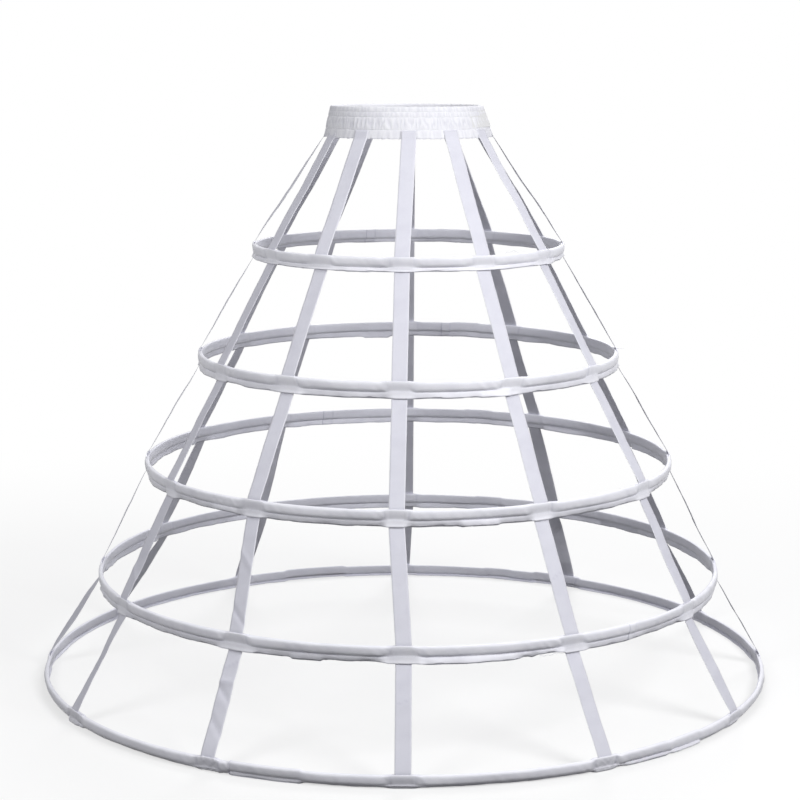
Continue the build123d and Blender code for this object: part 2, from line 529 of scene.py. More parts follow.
@dataclass(frozen=True)
class HardFinish:
    """Look of a kind of inner piece, which the cloth hides.

    Args:
        nodes: How the names of its nodes start.
        name: Name of the material, after the real stuff.
        light: Colour of its clean surface, sRGB hex.
        dark: Colour of its marks, sRGB hex.
        scale: Size of the marks, in marks to the metre.
        roughness: Of the surface.
        metal: 1 for bare metal, 0 for plastic or elastic.
    """

    nodes: str
    name: str
    light: str
    dark: str
    scale: float
    roughness: float
    metal: float


HARD_FINISHES = (
    # Braided elastic: rubber under a matt knitted cover, with small even marks
    HardFinish("waist_elastic", "covered_elastic", "EFEFEF", "D5D5D8", 600.0, 0.8, 0.0),
    # Spring steel strip, dipped in white plastic: a smooth half-gloss with soft wide drifts
    HardFinish("hoop_bone", "white_coated_spring_steel", "F4F4F4", "DADADC", 120.0, 0.35, 0.0),
    # Steel tube, crimped flat: bare grey metal with small press marks
    HardFinish("bone_sleeve", "crimped_steel", "B8BABD", "8A8C90", 300.0, 0.35, 1.0),
)


def add_node(
    tree: bpy.types.NodeTree, kind: str, settings: dict | None = None, links: dict | None = None
) -> bpy.types.Node:
    """Add one shader node.

    Args:
        tree: Node tree that takes it.
        kind: Node type, such as ShaderNodeMath.
        settings: Values of its properties, and of its inputs by name or number.
        links: Output sockets that feed its inputs, by name or number.
    Returns:
        The new node.
    """
    node = tree.nodes.new(kind)
    for key, value in (settings or {}).items():
        if isinstance(key, str) and hasattr(node, key):
            setattr(node, key, value)
        else:
            node.inputs[key].default_value = value
    for key, socket in (links or {}).items():
        tree.links.new(socket, node.inputs[key])
    return node


def start_material(name: str) -> tuple[bpy.types.Material, bpy.types.NodeTree, bpy.types.NodeSocket]:
    """Make an empty material that reads the piece's own coordinates.

    Args:
        name: The material's name.
    Returns:
        The material, its node tree, and the socket with the place on the piece.
    """
    material = bpy.data.materials.new(name)
    material.use_nodes = True
    tree = material.node_tree
    tree.nodes.clear()
    return material, tree, add_node(tree, "ShaderNodeTexCoord").outputs["Object"]


def make_cloth(finish: ClothFinish) -> bpy.types.Material:
    """Weave a cloth's material on the flat strip's own coordinates, in metres.

    Args:
        finish: The cloth's look.
    Returns:
        The material.
    """
    material, tree, place = start_material(finish.name)
    flat = add_node(tree, "ShaderNodeUVMap", {"uv_map": "Flat"})
    split = add_node(tree, "ShaderNodeSeparateXYZ", links={0: flat.outputs[0]}).outputs

    # Ribs run across the strip and threads along it
    ridges = []
    for along, pitch in ((split[0], finish.rib), (split[1], finish.thread)):
        turn = add_node(tree, "ShaderNodeMath", {"operation": "MULTIPLY", 1: FULL_TURN / pitch}, {0: along})
        ridges.append(add_node(tree, "ShaderNodeMath", {"operation": "SINE"}, {0: turn.outputs[0]}).outputs[0])
    joined, share = finish.weave.value
    fine = add_node(tree, "ShaderNodeMath", {"operation": "MULTIPLY", 1: share}, {0: ridges[1]})
    woven = add_node(tree, "ShaderNodeMath", {"operation": joined}, {0: ridges[0], 1: fine.outputs[0]})

    # Slubs about 1 mm long and pressed patches about 26 mm wide break up the weave
    slubs = add_node(tree, "ShaderNodeTexNoise", {"Scale": 900.0, "Detail": 2.0}, {"Vector": place}).outputs[0]
    patches = add_node(tree, "ShaderNodeTexNoise", {"Scale": 38.0, "Detail": 3.0}, {"Vector": place}).outputs[0]
    height = add_node(tree, "ShaderNodeMath", {"operation": "MULTIPLY_ADD", 1: 1.6}, {0: slubs, 2: woven.outputs[0]})
    bump = add_node(
        tree, "ShaderNodeBump", {"Strength": 0.6, "Distance": finish.relief}, {"Height": height.outputs[0]}
    )
    soft = add_node(
        tree, "ShaderNodeBump", {"Strength": 0.35, "Distance": 0.5 * MM},
        {"Height": patches, "Normal": bump.outputs[0]},
    )

    # Painted shade, read from the points, greys the folds and hollows, patches drift a little, and slubs speckle it
    depth = add_node(tree, "ShaderNodeAttribute", {"attribute_name": "FoldShade"})
    drift = add_node(tree, "ShaderNodeMapRange", {"From Min": 0.42, "From Max": 0.72, "To Max": 0.25}, {0: patches})
    speck = add_node(tree, "ShaderNodeMapRange", {"From Min": 0.55, "From Max": 0.75, "To Max": 0.2}, {0: slubs})
    layers = [(share, finish.shade) for share in (depth.outputs["Fac"], drift.outputs[0], speck.outputs[0])]
    if finish.width:
        half = finish.width / 2
        off = add_node(tree, "ShaderNodeMath", {"operation": "SUBTRACT", 1: half}, {0: split[1]})
        away = add_node(tree, "ShaderNodeMath", {"operation": "ABSOLUTE"}, {0: off.outputs[0]})
        near = add_node(
            tree, "ShaderNodeMapRange",
            {"From Min": half - finish.edge, "From Max": half - finish.edge / 2, "To Max": 0.6},
            {0: away.outputs[0]},
        )
        layers.append((near.outputs[0], EDGE_COLOUR))
    below = {}
    for share, colour in layers:
        colours = {"data_type": "RGBA", 6: linear(finish.colour), 7: linear(colour)}
        below = {6: add_node(tree, "ShaderNodeMix", colours, {0: share, **below}).outputs[2]}
    shader = add_node(
        tree, "ShaderNodeBsdfPrincipled",
        {"Roughness": finish.roughness, "Sheen Weight": finish.sheen, "Sheen Roughness": 0.4,
         "Specular IOR Level": 0.35},
        {"Base Color": below[6], "Normal": soft.outputs[0]},
    )
    add_node(tree, "ShaderNodeOutputMaterial", links={0: shader.outputs[0]})
    return material


def make_thread() -> bpy.types.Material:
    """White polyester sewing thread, spun and twisted, so the eye sees fine slanted ridges 0.7 mm apart.

    Returns:
        The material.
    """
    material, tree, place = start_material("sewing_thread")
    bands = {"Scale": 1400.0, "Distortion": 1.0, "bands_direction": "DIAGONAL"}
    twist = add_node(tree, "ShaderNodeTexWave", bands, {"Vector": place}).outputs[1]
    bump = add_node(tree, "ShaderNodeBump", {"Strength": 0.5, "Distance": 0.03 * MM}, {"Height": twist})
    # Painted shade: the colour darkens in the grooves of the twist, on the same wave as its bump
    colours = {"data_type": "RGBA", 6: linear("DDDDE8"), 7: linear("F2F2F8")}
    colour = add_node(tree, "ShaderNodeMix", colours, {0: twist})
    shader = add_node(
        tree, "ShaderNodeBsdfPrincipled", {"Roughness": 0.55, "Sheen Weight": 0.2},
        {"Base Color": colour.outputs[2], "Normal": bump.outputs[0]},
    )
    add_node(tree, "ShaderNodeOutputMaterial", links={0: shader.outputs[0]})
    return material


def dress_hidden_pieces(finish: HardFinish) -> None:
    """Give the nodes of one kind of inner piece, which the cloth encloses, their real stuff.

    Args:
        finish: The kind, and its look.
    """
    material, tree, place = start_material(finish.name)
    marks = add_node(tree, "ShaderNodeTexNoise", {"Scale": finish.scale, "Detail": 4.0}, {"Vector": place}).outputs[0]
    colours = {"data_type": "RGBA", 6: linear(finish.light), 7: linear(finish.dark)}
    colour = add_node(tree, "ShaderNodeMix", colours, {0: marks})
    bump = add_node(tree, "ShaderNodeBump", {"Strength": 0.3, "Distance": 0.05 * MM}, {"Height": marks})
    shader = add_node(
        tree, "ShaderNodeBsdfPrincipled", {"Roughness": finish.roughness, "Metallic": finish.metal},
        {"Base Color": colour.outputs[2], "Normal": bump.outputs[0]},
    )
    add_node(tree, "ShaderNodeOutputMaterial", links={0: shader.outputs[0]})
    for name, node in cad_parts.items():
        if name.startswith(finish.nodes):
            node.data.materials.clear()
            node.data.materials.append(material)


# Hoops


@dataclass(frozen=True)
class Lap:
    """Place where a casing's ribbon ends lap over each other.

    Args:
        hoop: Number of the hoop.
        degrees: Angle of its middle, from the front, positive to the right.
        length: Of the lap, in metres.
    """

    hoop: int
    degrees: float
    length: float


LAPS = (
    Lap(4, 40.7, 14 * MM),
    Lap(5, -25.6, 17 * MM),
    Lap(1, -165.0, 16 * MM),
    Lap(2, 168.0, 16 * MM),
    Lap(3, -160.0, 18 * MM),
)


@dataclass(frozen=True)
class Flaw:
    """Place where wear has pulled the flange below a casing's seam out of line.

    Args:
        hoop: Number of the hoop.
        degrees: Angle of its middle, from the front, positive to the right.
        length: Along the hoop, in metres.
        onset: Length over which it sets in at its ends, in metres.
        flare: How far the edge stands out there, in millimetres.
        bulge: How far the flange's middle stands out, in millimetres.
        hang: How far the edge hangs below its line, in millimetres.
        crumple: Depth of the small wrinkles across the ribbon there, in millimetres.
    """

    hoop: int
    degrees: float
    length: float
    onset: float
    flare: float
    bulge: float
    hang: float
    crumple: float


FLAWS = (
    Flaw(4, -17.0, 44 * MM, 3 * MM, 0.8, 0.6, 2.0, 0.15),
    Flaw(4, -8.5, 80 * MM, 3 * MM, 0.3, 0.4, -0.9, 0.1),
    Flaw(4, 10.0, 128 * MM, 26 * MM, 5.4, 0.5, 0.4, 0.1),
    Flaw(4, 19.4, 12 * MM, 5 * MM, -1.0, 1.6, -1.4, 0.6),
    Flaw(4, 23.8, 40 * MM, 4 * MM, 2.4, 0.2, -2.6, 0.25),
    Flaw(5, 29.0, 40 * MM, 8 * MM, 1.4, 0.8, 0.6, 0.6),
    Flaw(5, 36.4, 84 * MM, 22 * MM, 7.0, 0.6, 0.7, 0.2),
    Flaw(5, 44.4, 62 * MM, 9 * MM, 4.0, 3.6, 0.8, 0.35),
    Flaw(5, -19.6, 104 * MM, 3 * MM, 6.5, -0.6, 0.8, 0.2),
    Flaw(5, -28.0, 26 * MM, 4 * MM, 0.4, 0.5, -0.8, 0.6),
    Flaw(5, -58.0, 50 * MM, 8 * MM, 3.6, 1.0, 1.5, 0.5),
    Flaw(5, 76.0, 60 * MM, 8 * MM, 3.0, 1.4, 1.5, 0.5),
    Flaw(5, 150.0, 90 * MM, 8 * MM, 4.0, 1.0, 1.5, 0.3),
    Flaw(5, -163.0, 110 * MM, 9 * MM, 5.0, 1.0, 1.6, 0.2),
    Flaw(2, -170.5, 44 * MM, 6 * MM, -0.5, 0.6, 2.4, 0.3),
    Flaw(2, 22.0, 46 * MM, 8 * MM, 2.2, 0.3, 0.5, 0.3),
    Flaw(2, -52.0, 40 * MM, 5 * MM, 1.8, 0.8, -1.2, 0.5),
    Flaw(1, 62.0, 30 * MM, 5 * MM, 1.0, 0.6, 0.6, 0.5),
    Flaw(1, -18.0, 36 * MM, 6 * MM, 1.6, 0.2, 0.8, 0.3),
    Flaw(3, 14.0, 56 * MM, 7 * MM, 3.0, 0.4, 0.9, 0.3),
    Flaw(3, -40.0, 44 * MM, 5 * MM, 2.0, 0.8, -1.4, 0.5),
    Flaw(3, 100.0, 70 * MM, 8 * MM, 2.6, 0.6, 1.0, 0.3),
    Flaw(4, 130.0, 90 * MM, 8 * MM, 3.4, 0.4, 0.8, 0.3),
    Flaw(4, -75.0, 50 * MM, 5 * MM, 2.2, 1.0, -1.6, 0.5),
)


@dataclass(frozen=True)
class Hang:
    """How one casing hangs on its bone.

    Args:
        tilt: Of the flange below its channel, in degrees: outwards where positive, tucked under where negative.
        crease: Depth of the crease at its seam, in millimetres, which also sets how much painted shade the crease gets.
        sag: How far the channel sags, until its top lies on the bone, in millimetres.
    """

    tilt: float
    crease: float
    sag: float


HANGS = (
    Hang(9.0, 0.15, 0.8),
    Hang(0.0, 0.35, 2.2),
    Hang(-12.0, 0.45, 2.4),
    Hang(-10.0, 0.5, 2.4),
    Hang(-40.0, 0.3, 2.4),
)

# The slot that each tape passes through is slanted, and eases out sooner or later
SLANT = Wrinkle(0.6, 0.12, 0.7)
EASE_DRIFT = Wrinkle(0.35, 0.1, 1.7)
# The flange swings slowly and flutters, and its edge is uneven and here and there caught up
SWING = Wrinkle(1.3, 0.23, 1.3)
FLUTTER = Wrinkle(0.75, 0.062, 3.1)
FINE_FLUTTER = Wrinkle(0.375, 0.021, 5.3)
SCALLOP = Wrinkle(0.6, 0.08, 7.7)
FINE_SCALLOP = Wrinkle(0.3, 0.024, 1.9)
CAUGHT = Wrinkle(1.0, 0.05, 2.6)
# Worn places crumple two ways at once, in patches
CRUMPLE = Wrinkle(0.7, 0.008, 11.3)
CRUMPLE_PATCH = Wrinkle(1.0, 0.03, 2.9)
CROSS_CRUMPLE = Wrinkle(0.5, 0.013, 6.7)
# The channel rolls round the bone, drags into wrinkles, wavers, and is ridged beside the tapes
ROLL = Wrinkle(0.11, 0.27, 8.3)
DRAG = Wrinkle(1.0, 0.014, 2.2)
DRAG_PATCH = Wrinkle(0.6, 0.11, 6.9)
RIDGE_DRIFT = Wrinkle(0.6, 0.19, 5.9)
WAVER = Wrinkle(0.3, 0.085, 4.4)
# The seam's crease runs deep in some places and shallow in others, and its stitches pucker it
CREASE_DRIFT = Wrinkle(0.75, 0.15, 9.7)
PUCKER = Wrinkle(0.15, 0.0075, 6.1)


@dataclass
class Lay:
    """Points of a casing's ribbon while it is laid, each value an array.

    Args:
        turn: Angles round the hoop, in radians from the front, positive to the right.
        share: From 0, at the outer lower edge, over the bone to 1, at the inner lower edge.
        gap: Distance to the edge of the nearest tape, in metres.
        tape: How far the ribbon wraps a tape, from 0 to 1.
        out: Out from the casing's outside, in millimetres.
        up: Up from the middle of the bone, in millimetres.
        below: From 0 at the seam to 1 at the flange's edge.
        side: 1 on the outside and -1 on the inside.
        free: How freely the ribbon moves, from 0.2 over a tape to 1.
        caught_up: How far the hem is worn, from 0 to 1.
        on_bone: 1 on the flat of the bone, and 0 above and below it.
        beside: Height of the ridges beside the tapes, as a share.
    """

    turn: np.ndarray
    share: np.ndarray
    gap: np.ndarray
    tape: np.ndarray
    out: np.ndarray
    up: np.ndarray
    below: np.ndarray
    side: np.ndarray = field(init=False)
    free: np.ndarray = field(init=False)
    caught_up: np.ndarray = field(init=False)
    on_bone: np.ndarray = field(init=False)
    beside: np.ndarray = field(init=False)

    def __post_init__(self) -> None:
        self.side = np.where(self.share < 0.5, 1.0, -1.0)
        self.free = 1 - 0.8 * self.tape
        self.caught_up, self.on_bone, self.beside = (np.zeros_like(self.turn) for _ in range(3))


@dataclass
class Casing:
    """Ribbon folded over a hoop's bone and the tapes, and stitched below them.

    Args:
        hoop: The hoop.
        crossings: Angles at which tapes pass through, in radians.
        ribbon: Thickness of the ribbon, in metres.
        step: Length of a face along the hoop, in metres.
        corner_steps: Faces from one corner of the section to the next.
        channel: From the bone's middle to the seam below it, in millimetres.
        ease: How far beside a tape the ribbon takes to lie on the bone again, in metres.
        catch: How far a caught-up edge is drawn up, in millimetres.
        hem_lift: How far the hem's edge is drawn up all round, in millimetres.
        ridge: Height of the ridges beside a tape, in millimetres.
        sleeve_reach: How far from its middle the bone's sleeve lifts the ribbon, in metres.
        sleeve_lift: How much less the ribbon sags there, in millimetres.
        floor_room: Height above the floor that the ribbon's middle keeps, in millimetres.
        stitch: The seam's stitch.
        crease_share: Share of the way round the section at which the seam lies.
        lap_steps: Faces along and across a lap.
    """

    hoop: Hoop
    crossings: list[float]
    ribbon: float = 0.45 * MM
    step: float = 3.0 * MM
    corner_steps: int = 2
    channel: float = 6.75
    ease: float = 17 * MM
    catch: float = 1.5
    hem_lift: float = 0.8
    ridge: float = 0.4
    sleeve_reach: float = 28 * MM
    sleeve_lift: float = 1.2
    floor_room: float = 0.35
    stitch: Stitch = Stitch(2.6 * MM, 0.9 * MM, 0.2 * MM)
    crease_share: float = 3 / 20
    lap_steps: tuple[int, int] = (12, 40)

    def __post_init__(self) -> None:
        self.hang = HANGS[self.hoop.number - 1]
        self.flaws = [flaw for flaw in FLAWS if flaw.hoop == self.hoop.number]
        self.drop = (self.hoop.bone_height - self.hoop.bottom) / MM - self.channel
        self.plain = smooth_curve(self.plain_section())
        self.crossed = smooth_curve(self.crossed_section())
        self.width = float(np.linalg.norm(np.diff(self.plain, axis=0), axis=1).sum()) * MM
        low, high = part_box(f"bone_sleeve_{self.hoop.number}")
        middle = (low + high) / 2 - self.hoop.centre
        self.sleeve = math.atan2(middle.x, -middle.y)

    def plain_section(self) -> list[tuple[float, float]]:
        """Corners of the folded ribbon between tapes, from its outer lower edge to its inner one.

        Returns:
            Millimetres out from the casing's outside, and up from the middle of the bone.
        """
        edge, halfway, start = (-self.channel - share * self.drop for share in (1.0, 0.55, 0.2))
        run = math.tan(math.radians(self.hang.tilt)) * self.drop
        outer = [(-2.4 + run, edge + 1.2), (-2.5 + 0.5 * run, halfway), (-2.9 + 0.12 * run, start), (-3.3, -7.5)]
        front = [(-2.3, -6.0), (-1.2, -4.2), (-0.6, -2.2), (-0.4, 0.6), (-0.5, 3.4), (-1.1, 5.6)]
        back = [(-2.8, 6.8), (-4.4, 7.05), (-5.9, 6.95), (-6.8, 5.4), (-7.0, 0.0), (-6.75, -4.6)]
        inner = [(-5.6, -6.6), (-4.2, -7.8), (-3.8 + 0.12 * run, start - 0.5), (-3.8 + 0.5 * run, halfway)]
        return outer + front + back + inner + [(-3.5 + run, edge)]

    def crossed_section(self) -> list[tuple[float, float]]:
        """Corners of the folded ribbon where a tape passes between its layers, in step with the plain ones.

        Returns:
            Millimetres out from the casing's outside, and up from the middle of the bone.
        """
        edge, halfway, start = (-self.channel - share * self.drop for share in (1.0, 0.55, 0.2))
        run = math.tan(math.radians(-25.0 if self.hoop.is_hem else 10.0)) * self.drop
        outer = [(-0.9 + run, edge + 0.6), (-1.6 + 0.5 * run, halfway), (-1.6 + 0.2 * run, start), (-1.6, -7.2)]
        front = [(-1.9, -5.2), (-1.4, -2.6), (-0.7, 0.6), (-0.3, 3.9), (-0.5, 6.2), (-1.3, 7.4)]
        back = [(-2.6, 3.6), (-3.7, 6.9), (-5.8, 6.9), (-6.8, 5.4), (-7.0, 0.0), (-6.75, -4.8)]
        inner = [(-5.8, -6.7), (-4.8, -7.8), (-3.9 + 0.2 * run, start - 0.5), (-3.7 + 0.5 * run, halfway)]
        return outer + front + back + inner + [(-3.4 + run, edge)]

    def wave(
        self, turn: np.ndarray, wrinkle: Wrinkle, shift: float | np.ndarray = 0.0, skew: float | np.ndarray = 0.0
    ) -> np.ndarray:
        """Height of an uneven wave at angles round this hoop, which is another one on each hoop."""
        return wrinkle.along(turn, self.hoop.length, self.hoop.number, shift, skew)

    def tape_gap(self, turn: np.ndarray) -> np.ndarray:
        """Distance round the hoop from each angle to the edge of the nearest tape, in metres."""
        gaps = [np.maximum(self.hoop.arc(turn, crossing) - TAPE_WIDTH / 2, 0.0) for crossing in self.crossings]
        return np.min(gaps, axis=0)

    def worn_share(self, turn: np.ndarray, flaw: Flaw) -> np.ndarray:
        """How far a worn place has set in at each angle, from 0 to 1."""
        return smooth_step((flaw.length / 2 - self.hoop.arc(turn, math.radians(flaw.degrees))) / flaw.onset + 0.5)

    def spread(self, along: np.ndarray) -> np.ndarray:
        """Move even shares along the ribbon closer together at the tapes and the worn places.

        Args:
            along: Even shares of the way round, from the back.
        Returns:
            The moved shares.
        """
        even = np.linspace(0.0, 1.0, 6000)
        turn = (even + 0.5) * FULL_TURN
        closer = 1 + 1.3 * bell(self.tape_gap(turn), 0.0, 16 * MM)
        for flaw in self.flaws:
            closer = closer + 0.8 * self.worn_share(turn, flaw) * (flaw.crumple > 0.2)
        sums = np.concatenate([[0.0], np.cumsum((closer[1:] + closer[:-1]) / 2)])
        return np.interp(along * sums[-1], sums, even)

    def fold(self, turn: np.ndarray, share: np.ndarray) -> Lay:
        """Fold the ribbon round the bone and, where they cross, round the tapes as well.

        Args:
            turn: Angle round the hoop, in radians from the front, positive to the right.
            share: From 0, at the outer lower edge, over the bone to 1, at the inner lower edge.
        Returns:
            The folded ribbon, still smooth.
        """
        plain, crossed = along_curve(self.plain, share), along_curve(self.crossed, share)
        gap = self.tape_gap(turn + plain[:, 1] * self.wave(turn, SLANT) * MM / self.hoop.radius)
        tape = 1 - smooth_step(gap / (self.ease * (1 + self.wave(turn, EASE_DRIFT))))
        spot = plain * (1 - tape[:, None]) + crossed * tape[:, None]
        below = np.clip((-self.channel - spot[:, 1]) / self.drop, 0.0, 1.0)
        return Lay(turn, share, gap, tape, spot[:, 0], spot[:, 1], below)

    def hang_flange(self, lay: Lay) -> None:
        """Let the flange swing, with an uneven, here and there caught-up, edge.

        Args:
            lay: The ribbon, which is changed.
        """
        swing = self.wave(lay.turn, SWING) + self.wave(lay.turn, FLUTTER)
        swing = swing + self.wave(lay.turn, FINE_FLUTTER, skew=0.2 * lay.up)
        lay.out = lay.out + lay.below**1.2 * swing * lay.free * (0.5 if self.hoop.is_hem else 1.0)
        scallop = self.wave(lay.turn, SCALLOP) + self.wave(lay.turn, FINE_SCALLOP) * (lay.side > 0)
        caught = smooth_step((self.wave(lay.turn, CAUGHT, lay.side) - 0.62) / 0.1) * np.where(lay.side > 0, 1.0, 0.3)
        rise = lay.below * (scallop + self.catch * caught * lay.below) * lay.free
        lay.up = lay.up + rise * (0.8 if self.hoop.is_hem else 1.0)

    def wear(self, lay: Lay) -> None:
        """Pull the flange out of line at the worn places, and crumple the ribbon there.

        Args:
            lay: The ribbon, which is changed.
        """
        for flaw in self.flaws:
            worn = self.worn_share(lay.turn, flaw)
            lay.caught_up = np.maximum(lay.caught_up, worn * self.hoop.is_hem)
            crumple = self.wave(lay.turn, CRUMPLE, skew=0.8 * lay.up) * self.wave(lay.turn, CRUMPLE_PATCH)
            crumple = flaw.crumple * (crumple + self.wave(lay.turn, CROSS_CRUMPLE, skew=-0.5 * lay.up))
            lay.out = lay.out + worn * (flaw.flare * lay.below + flaw.bulge * np.sin(np.pi * lay.below))
            lay.out = lay.out + worn * lay.side * crumple * (1 - lay.below / 2)
            lay.up = lay.up - worn * flaw.hang * lay.below
        if self.hoop.is_hem:
            lay.up = lay.up + self.hem_lift * lay.below * lay.free

    def wrinkle(self, lay: Lay) -> None:
        """Roll the channel a little round the bone, and drag wrinkles across it, most beside the tapes.

        Args:
            lay: The ribbon, which is changed.
        """
        lay.out = lay.out + lay.up * self.wave(lay.turn, ROLL) * lay.free
        lay.on_bone = 1 - smooth_step((np.abs(lay.up + 0.5) - 4.5) / 3.0)
        near = np.exp(-lay.gap / (16 * MM)) * (1 - lay.tape)
        patch = np.clip(0.35 + self.wave(lay.turn, DRAG_PATCH), 0.0, 1.0)
        drag = self.wave(lay.turn, DRAG, lay.side * 0.7, 0.42 * lay.up * lay.side)
        drag = drag * (0.12 + 0.28 * patch + 0.5 * near) * lay.free
        # The tape's edge raises a ridge close beside it, with a hollow beyond
        lay.beside = bell(lay.gap, 2.2 * MM, 1.6 * MM) - 0.8 * bell(lay.gap, 5.6 * MM, 2.2 * MM)
        lay.beside = lay.beside * (0.6 + self.wave(lay.turn, RIDGE_DRIFT, lay.side)) * (lay.gap > 0)
        lay.out = lay.out + lay.side * lay.on_bone * (drag + self.ridge * lay.beside + self.wave(lay.turn, WAVER))

    def draw_seam(self, lay: Lay) -> np.ndarray:
        """Draw the seam's crease in, and let the channel sag until its top lies on the bone.

        Args:
            lay: The ribbon, which is changed.
        Returns:
            How much painted shade each point gets, from 0 to 1: in the crease, on the flange, on the inner side and in
            the hollows beside the tapes.
        """
        crease = bell(lay.up, -7.0, 1.7)
        deep = np.clip(0.5 + self.wave(lay.turn, CREASE_DRIFT, lay.side), 0.0, 1.0) * lay.free
        lay.out = lay.out - lay.side * crease * (self.hang.crease * deep - self.wave(lay.turn, PUCKER) * lay.free)
        over_sleeve = smooth_step((self.sleeve_reach - self.hoop.arc(lay.turn, self.sleeve)) / (8 * MM))
        sag = self.hang.sag * (1 - 0.4 * lay.tape) * (1 - 0.8 * lay.caught_up) - self.sleeve_lift * over_sleeve
        lowest = self.floor_room - self.hoop.bone_height / MM
        lay.up = np.maximum(lay.up - np.maximum(sag, 0) * (1 - 0.7 * lay.below), lowest)

        hem = self.hoop.is_hem
        # Painted shade greys the crease and the flange below the channel, most at the hem
        under_shade = (1.0 if hem else 0.3) * 0.3 * lay.below * (1 - lay.tape)
        depth = crease * self.hang.crease * (0.3 + 0.9 * deep) + under_shade
        # Painted shade greys the inner side of the ribbon, away from the crease
        depth = depth + 0.5 * smooth_step((lay.share - 0.52) / 0.08) * (1 - crease)
        # Painted shade greys the hollows beside the tapes, and the ribbon over the tapes at the hem
        depth = depth + lay.on_bone * (0.2 * lay.tape * hem + 0.5 * np.clip(-lay.beside, 0.0, 1.0))
        return np.clip(depth, 0.0, 1.0)

    def place(self, turn: np.ndarray, share: np.ndarray, lift: float = 0.0) -> tuple[np.ndarray, np.ndarray]:
        """Where points of the ribbon lie once it is sewn.

        Args:
            turn: Angle round the hoop, in radians from the front, positive to the right.
            share: From 0, at the outer lower edge, over the bone to 1, at the inner lower edge.
            lift: Distance outside the ribbon, in metres.
        Returns:
            The points, and how much painted shade each gets.
        """
        lay = self.fold(turn, share)
        self.hang_flange(lay)
        self.wear(lay)
        self.wrinkle(lay)
        depth = self.draw_seam(lay)
        return self.hoop.around(turn, lay.out * MM + lay.side * lift, self.hoop.bone_height + lay.up * MM), depth

    def round_shape(self, along: np.ndarray, across: np.ndarray) -> tuple[np.ndarray, np.ndarray]:
        """Lay the whole ribbon round the hoop, from the back."""
        return self.place((along + 0.5) * FULL_TURN, across)

    def build(self, material: bpy.types.Material) -> bpy.types.Object:
        """Sew the casing, and hide the frame's own casing node.

        Args:
            material: The ribbon's material.
        Returns:
            The finished piece.
        """
        steps = (round(self.hoop.length / self.step), (len(self.plain_section()) - 1) * self.corner_steps)
        cut = Cut(self.hoop.length, self.width, steps, self.ribbon)
        piece = sew(f"casing_{self.hoop.number}", cut, self.round_shape, material, self.spread)
        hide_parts(f"hoop_casing_{self.hoop.number}")
        return piece

    def build_stitches(self, material: bpy.types.Material) -> bpy.types.Object:
        """Sew the seam that closes the channel, on the outside and the inside.

        Args:
            material: The thread's material.
        Returns:
            The finished piece.
        """
        count = round(self.hoop.length / (2 * MM))
        turn = np.arange(count) / count * FULL_TURN
        lines = [self.place(turn, np.full(count, share), self.ribbon / 2)[0]
                 for share in (self.crease_share, 1 - self.crease_share)]
        piece = sew_seams(f"stitches_casing_{self.hoop.number}", lines, self.stitch, material)
        return piece

    def build_lap(self, lap: Lap, material: bpy.types.Material) -> bpy.types.Object:
        """Lay the ribbon's end over its start, wrapped round the casing and turned in at its edge.

        Args:
            lap: Where the ends lap.
            material: The ribbon's material.
        Returns:
            The finished piece.
        """
        half = lap.length / 2 / self.hoop.radius

        def shape(along: np.ndarray, across: np.ndarray) -> tuple[np.ndarray, np.ndarray]:
            """Wrap the end, slanted, just outside the casing.

            Args:
                along: Share of the way along the lap.
                across: Share of the way across the ribbon.
            Returns:
                The points, and how much painted shade each gets.
            """
            turn = math.radians(lap.degrees) + (2 * along - 1) * half + 0.5 * half * (across - 0.5)
            points, depth = self.place(turn, 0.005 + 0.99 * across, 0.6 * MM)
            # Painted shade greys the ribbon along the lap's two ends
            edge = np.minimum(along, 1 - along) * lap.length
            return points, np.clip(depth + 0.6 * np.exp(-edge / (1.2 * MM)), 0, 1)

        cut = Cut(lap.length, self.width, self.lap_steps, self.ribbon)
        piece = sew(f"casing_lap_{lap.hoop}", cut, shape, material)
        return piece


@dataclass(frozen=True)
class Fray:
    """Thread that hangs loose along a torn edge.

    Args:
        hoop: Number of the hoop.
        degrees: Angle of its middle, from the front, positive to the right.
        length: In metres.
        drop: How far its middle hangs down, in millimetres.
    """

    hoop: int
    degrees: float
    length: float
    drop: float


